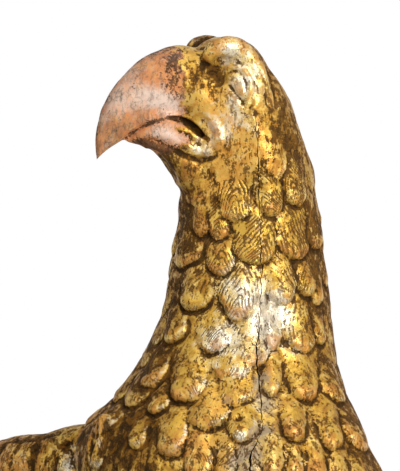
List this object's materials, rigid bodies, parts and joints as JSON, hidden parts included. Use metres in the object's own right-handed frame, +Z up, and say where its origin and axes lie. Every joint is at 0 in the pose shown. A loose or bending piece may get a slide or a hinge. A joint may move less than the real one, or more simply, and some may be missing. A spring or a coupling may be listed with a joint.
{
  "type": "giltwood eagle figure",
  "caption": "Carved and gilded wooden eagle standing on a rock, head turned, wings half spread and lowered, scale feathers on the neck; stands on its flat underside.",
  "frame": {"origin": "on the rock's flat underside, below the figure's middle plane", "axes": "+Z up, the eagle faces -Y and its own left is +X"},
  "size_m": [0.5114, 0.2726, 0.7004],
  "materials": {
    "neck_gilding": "worn burnished gold leaf over red bole on carved wood, dark toning in the hollows",
    "body_gilding": "worn burnished gold leaf over red bole on carved wood",
    "wing_gilding": "worn gold leaf over red bole on carved wood, darker at the shoulders",
    "worn_beak_gilding": "gilding worn to the red bole, rubbed to a copper and grey sheen",
    "foot_gilding": "worn gold leaf on carved wood, dark toning between the scales",
    "rock_gilding": "dark-toned gold leaf on carved wood",
    "bare_dowels": "bare turned wood",
    "iron": "black wrought iron"
  },
  "bodies": {
    "root": {"head_face_plank": "neck_gilding", "head_nape_plank": "neck_gilding", "upper_beak": "worn_beak_gilding", "lower_beak": "worn_beak_gilding", "beak_dowel": "bare_dowels", "head_dowel_front": "bare_dowels", "head_dowel_rear": "bare_dowels", "trunk_breast_plank": "body_gilding", "trunk_core_plank": "body_gilding", "trunk_back_plank": "body_gilding", "left_wing_shoulder_plank": "wing_gilding", "left_wing_inner_plank": "wing_gilding", "left_wing_outer_plank": "wing_gilding", "left_wing_dowel_upper": "bare_dowels", "left_wing_dowel_lower": "bare_dowels", "right_wing_shoulder_plank": "wing_gilding", "right_wing_inner_plank": "wing_gilding", "right_wing_outer_plank": "wing_gilding", "right_wing_dowel_upper": "bare_dowels", "right_wing_dowel_lower": "bare_dowels", "tail_board": "wing_gilding", "tail_screw_left": "iron", "tail_screw_right": "iron", "left_thigh": "body_gilding", "right_thigh": "body_gilding", "left_foot": "foot_gilding", "right_foot": "foot_gilding", "left_leg_rod": "iron", "right_leg_rod": "iron", "rock_base": "rock_gilding"}
  },
  "joints": []
}
